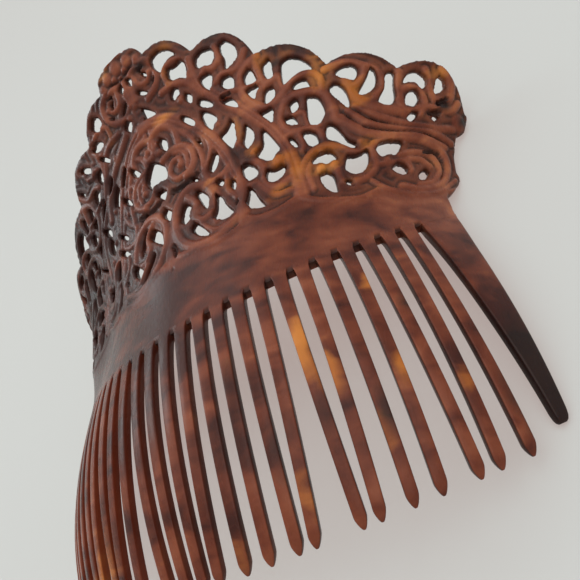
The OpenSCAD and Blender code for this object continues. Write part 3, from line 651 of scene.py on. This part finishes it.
# Patches where it turns nearly black, in the same form
DARK = [
    (26, 72.5, 5, 1.8, 0.9), (30, 75, 3, 1.6, 0.5), (41, 57.8, 3.5, 1.6, 0.8), (78, 32.4, 2.8, 1.8, 1.2),
    # The patch at u 6, z 41 is painted shade in the deep groove there
    (22.4, 41, 1.2, 7, 0.8), (25.5, 36, 2.6, 1.6, 0.9), (7, 81, 4, 1.6, 0.9), (6, 41, 5.5, 1.4, 1.0),
    (8.5, 29, 2.5, 5, 0.6), (83, 27.5, 2.4, 2, 1.0), (70, 20.5, 3.4, 1.2, 0.6), (34, 69, 2, 5, 0.5),
    (4, 55, 4, 5, 0.5), (-10, 30, 8, 10, 0.3), (-12, 60, 9, 14, 0.35), (71, -44, 6, 15, 2.6),
    (54, -16, 2, 3.5, 0.9), (34, -30, 2, 4, 0.7), (18, -20, 3, 6, 0.6), (24, -33, 2, 5, 0.6),
    (44, -33, 2, 5, 0.8), (31, -38, 2, 5, 0.6), (60, -20, 2, 4, 0.5), (0, -16, 3, 8, 0.6),
    (-9, -22, 3, 9, 0.6), (-52, 34, 16, 13, 0.6), (-34, 50, 12, 14, 0.5), (-72, 24, 9, 12, 0.5),
    (-20, 66, 10, 8, 0.35),
]
# Wide patches where the brown is lighter or darker, in the same form
TONE = [
    (66, 24, 20, 22, 0.12), (60, 50, 14, 12, 0.06), (-46, 38, 32, 34, -0.36), (-6, 44, 16, 26, -0.05),
    (-46, 6, 34, 14, -0.12), (0, -10, 46, 12, -0.1), (18, -30, 26, 22, -0.1), (6, 9, 30, 8, -0.22),
    (70, -14, 7, 16, -0.32), (56, 7, 12, 7, 0.07),
]


def patch_shade(u, z, table):
    """Sum of soft round patches, each its strength times the exponential of minus the squared distance."""
    shade = np.zeros(np.shape(u))
    for u0, z0, reach_u, reach_z, strength in table:
        shade += strength * np.exp(-((u - u0) / reach_u)**2 - ((z - z0) / reach_z)**2)
    return shade


# Browns of the mottling from dark to light, by tone, and the two ends of the amber
BROWNS = [
    (0.2, (0.04, 0.012, 0.009)), (0.4, (0.105, 0.026, 0.014)), (0.54, (0.155, 0.041, 0.02)),
    (0.68, (0.205, 0.06, 0.029)), (0.82, (0.28, 0.09, 0.038)),
]
AMBERS = [(0.35, (0.3, 0.085, 0.014)), (0.65, (0.5, 0.18, 0.035))]
# Where a patch sets in and where it is full, as shares of its colour
AMBER_SPAN = [(0.25, (0.0, 0.0, 0.0)), (0.95, (0.9, 0.9, 0.9))]
DARK_SPAN = [(0.3, (0.0, 0.0, 0.0)), (0.95, (0.97, 0.97, 0.97))]
NEAR_BLACK = (0.014, 0.009, 0.008)
# Dark red of the painted glow that stands in for light let through walls and thin teeth
PAINTED_GLOW_RED = (0.11, 0.018, 0.007)
# Near-black of the painted shade in hollows, along edges, on walls and on the sawn sides of teeth
PAINTED_SHADE_COLOUR = (0.014, 0.006, 0.005)
# Noise of each kind: scale, detail, stretch along each axis, distortion
CLOUD = (75, 2, (0.7, 0.9, 1), 0.8)
MOTTLE = (210, 4, (0.36, 1, 1), 0.5)
SCRATCH = (700, 2, (1, 0.2, 1), 0)
RIPPLE = (420, 3, (1, 1, 1), 0)
BREAK_UP = 1.5
POLISH = 0.17
SCRATCH_DEPTH = 0.2


def shell_material():
    """Mottled brown plastic that imitates tortoiseshell. A coarse and a streaked noise, and the wide tone
    patches, mix near-black, brown and red-brown; where the plate is carved the tone also carries a painted
    highlight on the heights. The amber and dark patches break up in the streaks, a painted red glow stands
    in for light let through the walls and the thin teeth, painted shade darkens the hollows, the edges, the
    walls and the sawn sides of the teeth, and fine hair scratches roughen the polish."""
    material = bpy.data.materials.new("mottled_shell")
    material.use_nodes = True
    nodes, links = material.node_tree.nodes, material.node_tree.links
    shader = nodes["Principled BSDF"]
    place = nodes.new("ShaderNodeTexCoord")

    def noise(scale, detail, stretch, distortion):
        mapping = nodes.new("ShaderNodeMapping")
        mapping.inputs["Scale"].default_value = stretch
        texture = nodes.new("ShaderNodeTexNoise")
        texture.inputs["Scale"].default_value = scale
        texture.inputs["Detail"].default_value = detail
        texture.inputs["Distortion"].default_value = distortion
        links.new(place.outputs["Object"], mapping.inputs["Vector"])
        links.new(mapping.outputs["Vector"], texture.inputs["Vector"])
        return texture.outputs["Fac"]

    def ramp(value, stops):
        node = nodes.new("ShaderNodeValToRGB")
        points = node.color_ramp.elements
        while len(points) < len(stops):
            points.new(0.5)
        for point, (at, colour) in zip(points, stops):
            point.position = at
            point.color = (*colour, 1)
        links.new(value, node.inputs["Fac"])
        return node.outputs["Color"]

    def math(operation, a, b):
        node = nodes.new("ShaderNodeMath")
        node.operation = operation
        for slot, value in zip(node.inputs, (a, b)):
            if isinstance(value, float):
                slot.default_value = value
            else:
                links.new(value, slot)
        return node.outputs["Value"]

    def mix(factor, a, b):
        node = nodes.new("ShaderNodeMix")
        node.data_type = "RGBA"
        links.new(factor, node.inputs["Factor"])
        for slot, value in ((node.inputs["A"], a), (node.inputs["B"], b)):
            if isinstance(value, tuple):
                slot.default_value = (*value, 1)
            else:
                links.new(value, slot)
        return node.outputs["Result"]

    def shade(name):
        node = nodes.new("ShaderNodeAttribute")
        node.attribute_name = name
        return node.outputs["Fac"]

    cloud, mottle = noise(*CLOUD), noise(*MOTTLE)
    streak = math("SUBTRACT", mottle, 0.5)
    figure = math("MULTIPLY", streak, shade("figure"))
    colour = ramp(math("ADD", math("ADD", cloud, figure), shade("tone")), BROWNS)
    break_up = math("MULTIPLY", streak, BREAK_UP)
    amber = ramp(math("ADD", shade("amber"), break_up), AMBER_SPAN)
    colour = mix(amber, colour, ramp(cloud, AMBERS))
    dark = ramp(math("ADD", shade("dark"), break_up), DARK_SPAN)
    colour = mix(dark, colour, NEAR_BLACK)
    # Painted red glow laid over the colour
    colour = mix(shade("glow"), colour, PAINTED_GLOW_RED)
    # Painted shade laid over the colour
    colour = mix(shade("painted_shade"), colour, PAINTED_SHADE_COLOUR)
    links.new(colour, shader.inputs["Base Color"])
    scratch = math("MULTIPLY", noise(*SCRATCH), SCRATCH_DEPTH)
    links.new(math("ADD", scratch, POLISH), shader.inputs["Roughness"])
    shader.inputs["Specular IOR Level"].default_value = 0.15
    shader.inputs["Specular Tint"].default_value = (1, 0.8, 0.74, 1)
    shader.inputs["Subsurface Weight"].default_value = 0.15
    shader.inputs["Subsurface Radius"].default_value = (1.0, 0.25, 0.08)
    shader.inputs["Subsurface Scale"].default_value = 0.002
    bump = nodes.new("ShaderNodeBump")
    bump.inputs["Strength"].default_value = 0.1
    bump.inputs["Distance"].default_value = 0.0002
    links.new(noise(*RIPPLE), bump.inputs["Height"])
    links.new(bump.outputs["Normal"], shader.inputs["Normal"])
    return material


shell = shell_material()
# Painted shade in the hollows, a painted highlight on the heights, and painted shade along the edges and on
# the walls, with a painted red glow on the walls; the edge marks fade towards the right end
HOLLOW_SHADE, HOLLOW_TOP, HOLLOW_FALL = 0.85, 0.02, 0.36
HIGHLIGHT_TONE, HIGHLIGHT_FOOT, HIGHLIGHT_RISE = 0.14, 0.1, 0.3
RIM_WIDTH, RIM_END, RIM_FADE, RIM_LEAST = 0.3, 88, 20, 0.3
RIM_SHADE, WALL_SHADE, WALL_GLOW = 0.6, 0.75, 0.5
PLATE_FIGURE = 0.85


def plate_piece(name, node, keep, u, z, inside, rounding, relief, carved):
    """One part of the plate, where both inside and keep are positive. The front is the relief less the
    quarter round of its edges, and the back is plain."""
    inside = np.minimum(inside, keep)
    cell = min(u[1, 0] - u[0, 0], z[0, 1] - z[0, 0])
    inside, near_u, near_z = snapped(inside, u, z, SNAP * cell)
    (u, z, relief, rounding, carved), triangles = clipped_grid(
        inside, near_u, near_z, relief, rounding, carved)
    thick = np.interp(z - seam_height(u), (0, THIN_OVER), (BAND_THICK, CREST_THICK))
    front = sheet_point(u, z, relief - quarter_round(rounding, FRONT_ROUND))
    back = sheet_point(u, z, quarter_round(rounding, BACK_ROUND) - thick)
    points, faces = closed_plate(front, back, triangles)
    # Painted shade in the hollows
    hollow = HOLLOW_SHADE * np.clip((HOLLOW_TOP - relief) / HOLLOW_FALL, 0, 1)
    # Painted highlight on the carved heights, added to the tone
    painted_highlight = HIGHLIGHT_TONE * carved * np.clip((relief - HIGHLIGHT_FOOT) / HIGHLIGHT_RISE, 0, 1)
    # Painted shade along the edges, on the front and more on the walls, where a painted red glow also lies
    rim = np.clip(1 - rounding / RIM_WIDTH, 0, 1) * np.clip((RIM_END - u) / RIM_FADE, RIM_LEAST, 1)
    piece = new_piece(name, points, faces, np.tile(np.stack([u, z], 1) * METRES, (2, 1)), {
        "amber": np.tile(patch_shade(u, z, AMBER), 2), "dark": np.tile(patch_shade(u, z, DARK), 2),
        "painted_shade": np.concatenate([np.maximum(hollow, RIM_SHADE * rim), WALL_SHADE * rim]),
        "glow": np.concatenate([0 * rim, WALL_GLOW * rim]), "figure": np.full(2 * len(u), PLATE_FIGURE),
        "tone": np.tile(patch_shade(u, z, TONE) + painted_highlight, 2),
    })
    piece.data.materials.append(shell)
    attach(piece, "root")
    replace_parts(piece, node)


CREST_CELL = 0.4
CREST_REACH = 85.6
CREST_FOOT = 6.8
CREST_TOP = 88.4
crest_grid = carving(
    np.linspace(-CREST_REACH, CREST_REACH, 2 * int(CREST_REACH / CREST_CELL) + 1),
    np.arange(CREST_FOOT, CREST_TOP, CREST_CELL))
plate_piece("pierced_crest", "crest", crest_grid[1] - seam_height(crest_grid[0]), *crest_grid)

# The band
# The plain strip that the teeth hang from, polished and left uncarved. The saw that cut the teeth ran
# out upwards, so a short scoop leads into the top of each slot.

TOOTH_COUNT = 25
TOOTH_PITCH = 4.9
# The grid is finer up to just above the slots
BAND_CELL = 0.36
BAND_REACH = 73.2
BAND_FOOT, FINE_TOP, BAND_TOP = -0.02, 3.6, 17
SCOOP_HALF = 0.95
SCOOP_LENGTH = 0.9
SCOOP_DEPTH = 0.6

band_grid = list(carving(
    np.linspace(-BAND_REACH, BAND_REACH, 2 * int(BAND_REACH / BAND_CELL) + 1),
    np.concatenate([
        np.arange(BAND_FOOT, FINE_TOP, BAND_CELL), np.arange(FINE_TOP, BAND_TOP, 2 * BAND_CELL)])))
band_u, band_z, relief = band_grid[0], band_grid[1], band_grid[4]
across = (np.mod(band_u / TOOTH_PITCH, 1) - 0.5) * TOOTH_PITCH / SCOOP_HALF
along = (band_z - slot_top(band_u)) / SCOOP_LENGTH
scoop = np.clip(1 - across**6, 0, 1) * np.clip(1 - along, 0, 1) * (
    np.abs(band_u) < (TOOTH_COUNT + 1) / 2 * TOOTH_PITCH)
band_grid[4] = relief - SCOOP_DEPTH * scoop
plate_piece("plain_band", "band", seam_height(band_u) - band_z, *band_grid)

# The inner teeth
# Twenty-five long teeth left standing between saw cuts in the same plate. They bow forward with the
# sheet, all sweep a little to one side, and end in a filed point.

TOOTH_SWEEP = 4.0
SWEEP_DEPTH = 30.0
# z, width, thickness and squareness of the section, and how far its front lies below the sheet
TOOTH_SECTIONS = np.array([
    (0.9, 3.7, 2.1, 12, 0.01), (0, 3.6, 2.2, 12, 0), (-0.3, 3.3, 2.2, 12, 0), (-0.8, 3.1, 2.15, 11, 0),
    (-1.6, 3, 2.1, 10, 0), (-4, 2.85, 2.05, 8, 0), (-7, 2.7, 2, 7, 0), (-15, 2.45, 1.9, 6.5, 0),
    (-25, 2.35, 1.8, 6.5, 0), (-35, 2.3, 1.75, 6.5, 0), (-43, 2.25, 1.7, 6.5, 0),
    (-46.9, 2.2, 1.65, 6.5, 0), (-47.4, 2.1, 1.6, 6, 0.05), (-48, 1.75, 1.4, 5, 0.15),
    (-48.6, 1.25, 1.1, 4, 0.3), (-49, 0.8, 0.8, 3, 0.45), (-49.2, 0.45, 0.5, 2.4, 0.6),
])
# Sideways drift of each tip, from the right guard tooth to the left one
TIP_DRIFT = [
    1.2, 0.4, 1.6, 0, 0.1, -0.6, 1.2, -2.1, -0.3, -0.6, -0.5, -1.2, 0.2,
    1.2, 1.8, -1.2, -2, 0.6, -0.8, 1, 0.2, -0.9, 0.7, -0.4, 0.5,
]
RING_SIDES = 24
ROWS = 65
TOOTH_FIGURE = 0.8
# The sawn sides get painted shade, or on the teeth further left a painted red glow that stands in for light
# let through
SIDE_STEEPNESS = 3
SIDE_SHADE = 0.8
GLOW_START = 24
GLOW_RUN = 45


def tooth_piece(name, root, drift, sections):
    """Tooth whose rings are superellipses: half the width times the cosine, and half the thickness times
    the sine, each to the power two over the squareness. The ring's front lies in the sheet, and its middle
    follows the sweep, a parabola in z, and the drift, the square of the share of the length."""
    tip = sections[-1, 0]
    share = np.linspace(0, 1, ROWS)
    z = np.interp(share, np.linspace(0, 1, len(sections)), sections[:, 0])
    order = np.argsort(-sections[:, 0])
    width, thick, square, drop = [
        np.interp(-z, -sections[order, 0], sections[order, k]) for k in (1, 2, 3, 4)]
    depth = np.minimum(z, 0)
    sweep = TOOTH_SWEEP * (depth / SWEEP_DEPTH) * (2 + depth / SWEEP_DEPTH)
    middle = root - sweep + drift * (depth / tip)**2
    angle = np.arange(RING_SIDES) * 2 * np.pi / RING_SIDES
    power = 2 / square[:, None]
    across = np.sign(np.cos(angle)) * np.abs(np.cos(angle))**power
    out = np.sign(np.sin(angle)) * np.abs(np.sin(angle))**power
    level = (z + slot_top(root))[:, None] + 0 * across
    u = middle[:, None] + across * width[:, None] / 2
    points = sheet_point(u, level, (out - 1) * thick[:, None] / 2 - drop[:, None]).reshape(-1, 3)
    layout = np.stack([u, level], -1).reshape(-1, 2)
    ends = np.stack([layout[:RING_SIDES].mean(0), layout[-RING_SIDES:].mean(0)])
    points = np.vstack([points, points[:RING_SIDES].mean(0), points[-RING_SIDES:].mean(0)])
    layout = np.vstack([layout, ends])
    n = np.arange((ROWS - 1) * RING_SIDES)
    nxt = (n // RING_SIDES) * RING_SIDES + (n + 1) % RING_SIDES
    top, last = len(points) - 2, (ROWS - 1) * RING_SIDES
    k = np.arange(RING_SIDES)
    faces = np.concatenate([
        np.stack([n, n + RING_SIDES, nxt], 1), np.stack([nxt, n + RING_SIDES, nxt + RING_SIDES], 1),
        np.stack([np.full(RING_SIDES, top), k, (k + 1) % RING_SIDES], 1),
        np.stack([np.full(RING_SIDES, top + 1), last + (k + 1) % RING_SIDES, last + k], 1),
    ])
    u, z = layout.T
    # Painted shade on the sawn sides, which on the teeth further left becomes a painted red glow
    side = np.clip(SIDE_STEEPNESS * (np.abs(across) - np.abs(out)), 0, SIDE_SHADE)
    side = np.append(side.ravel(), [0, 0])
    thin = np.clip((GLOW_START - root) / GLOW_RUN, 0, 1)
    tooth = new_piece(name, points, faces, layout * METRES, {
        "amber": patch_shade(u, z, AMBER), "dark": patch_shade(u, z, DARK), "painted_shade": side * (1 - thin),
        "glow": side * thin, "figure": np.full(len(u), TOOTH_FIGURE), "tone": patch_shade(u, z, TONE),
    })
    tooth.data.materials.append(shell)
    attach(tooth, "root")
    return tooth


for k, drift in enumerate(TIP_DRIFT, 1):
    name = f"tooth_{k:02d}"
    root = ((TOOTH_COUNT + 1) / 2 - k) * TOOTH_PITCH
    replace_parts(tooth_piece("cut_" + name, root, drift, TOOTH_SECTIONS), name)

# The guard teeth
# A broad tooth at each end of the row, cut from the same plate, which tapers to a blunt tip and keeps
# the inner teeth from snagging.

GUARD_SECTIONS = np.array([
    (0.9, 10.2, 2.2, 16, 0.01), (0, 10.2, 2.3, 16, 0), (-0.4, 9.95, 2.3, 14, 0), (-2, 9.8, 2.3, 12, 0),
    (-5, 9.1, 2.3, 10, 0), (-10, 8, 2.3, 8, 0), (-17, 6.9, 2.2, 7.5, 0), (-25, 5.7, 2.2, 7.5, 0),
    (-33, 4.5, 2.1, 7, 0), (-40, 3.4, 2, 7, 0), (-44.6, 2.7, 1.9, 7, 0), (-45.6, 2.4, 1.75, 6, 0.05),
    (-46.2, 2, 1.4, 4.6, 0.25), (-46.5, 1.4, 0.9, 3.4, 0.5),
])
for side, name in ((1, "guard_tooth_right"), (-1, "guard_tooth_left")):
    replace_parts(tooth_piece("cut_" + name, side * GUARD_PLACE, 0, GUARD_SECTIONS), name)

# Floor, light and camera
# A plain pale table under a broad ceiling light, with a small lamp and a low cool window on the comb's
# left, whose sheen the polish shows, and the photograph's view.

FLOOR_REACH = 30.0
# The table's far end rises in a soft bend on the comb's upper left, then in a straight slope
BEND_START = 0.2
BEND_RADIUS = 0.6
BEND_ANGLE = np.radians(35)
BEND_STEPS = 25
SLOPE_END = 0.8
TABLE_GREY = (0.19, 0.265, 0.262, 1)
TABLE_GLOW = (0.38, 0.29, 0.265, 1)
away = np.array([-0.87, 0.493])
turn = np.linspace(0, BEND_ANGLE, BEND_STEPS)
run_out = np.concatenate([[-FLOOR_REACH], BEND_START + BEND_RADIUS * np.sin(turn)])
rise = np.concatenate([[0], BEND_RADIUS * (1 - np.cos(turn))])
run_out = np.append(run_out, run_out[-1] + SLOPE_END * np.cos(BEND_ANGLE))
rise = np.append(rise, rise[-1] + SLOPE_END * np.sin(BEND_ANGLE))
ends = [np.column_stack([np.outer(run_out, away) + reach * np.array([away[1], -away[0]]), rise])
        for reach in (FLOOR_REACH, -FLOOR_REACH)]
k = np.arange(len(rise) - 1)
floor_mesh = bpy.data.meshes.new("floor")
floor_mesh.from_pydata(np.vstack(ends).tolist(), [], np.stack(
    [k, k + 1, k + 1 + len(rise), k + len(rise)], 1).tolist())
floor_mesh.polygons.foreach_set("use_smooth", np.ones(len(k), dtype=bool))
floor = bpy.data.objects.new("floor", floor_mesh)
bpy.context.collection.objects.link(floor)
floor_material = bpy.data.materials.new("pale_table")
floor_material.use_nodes = True
floor_shader = floor_material.node_tree.nodes["Principled BSDF"]
floor_shader.inputs["Base Color"].default_value = TABLE_GREY
floor_shader.inputs["Roughness"].default_value = 0.8
floor_shader.inputs["Specular IOR Level"].default_value = 0.2
floor_shader.inputs["Emission Color"].default_value = TABLE_GLOW
floor_shader.inputs["Emission Strength"].default_value = 1.0
floor_mesh.materials.append(floor_material)

world = bpy.data.worlds.new("studio")
bpy.context.scene.world = world
world.use_nodes = True
background = world.node_tree.nodes["Background"]
background.inputs["Color"].default_value = (0.96, 0.98, 1.0, 1)
background.inputs["Strength"].default_value = 0.7
COMB_MIDDLE = (0, 0, 0.02)


def soft_light(name, place, size, power, colour=(1, 1, 1)):
    """Square area light at place, turned to face the comb."""
    data = bpy.data.lights.new(name, "AREA")
    data.size = size
    data.energy = power
    data.color = colour
    light = bpy.data.objects.new(name, data)
    light.location = place
    light.rotation_euler = (Vector(COMB_MIDDLE) - Vector(place)).to_track_quat("-Z", "Y").to_euler()
    bpy.context.collection.objects.link(light)


soft_light("ceiling", (-0.8, 0.7, 2.45), 3.2, 25.5)
soft_light("room", (0.9, -0.4, 2.2), 2.4, 28)
soft_light("lamp", (-0.9, 0.45, 0.95), 0.3, 1.5)
soft_light("window", (-1.5, 0.88, 0.5), 0.9, 14, (0.78, 0.94, 1))

camera_data = bpy.data.cameras.new("camera")
camera_data.lens = 36
camera_data.sensor_width = 36
camera_data.clip_start = 0.01
camera = bpy.data.objects.new("camera", camera_data)
bpy.context.collection.objects.link(camera)
camera_right = Vector((0.7610, -0.0532, -0.6466))
camera_down = Vector((-0.4803, -0.7163, -0.5062))
camera_forward = Vector((-0.4362, 0.6958, -0.5707))
camera.matrix_world = Matrix.Translation((0.08003, -0.09933, 0.09435)) @ Matrix(
    (camera_right, -camera_down, -camera_forward)).transposed().to_4x4()
bpy.context.scene.camera = camera
bpy.context.scene.view_settings.view_transform = "Standard"
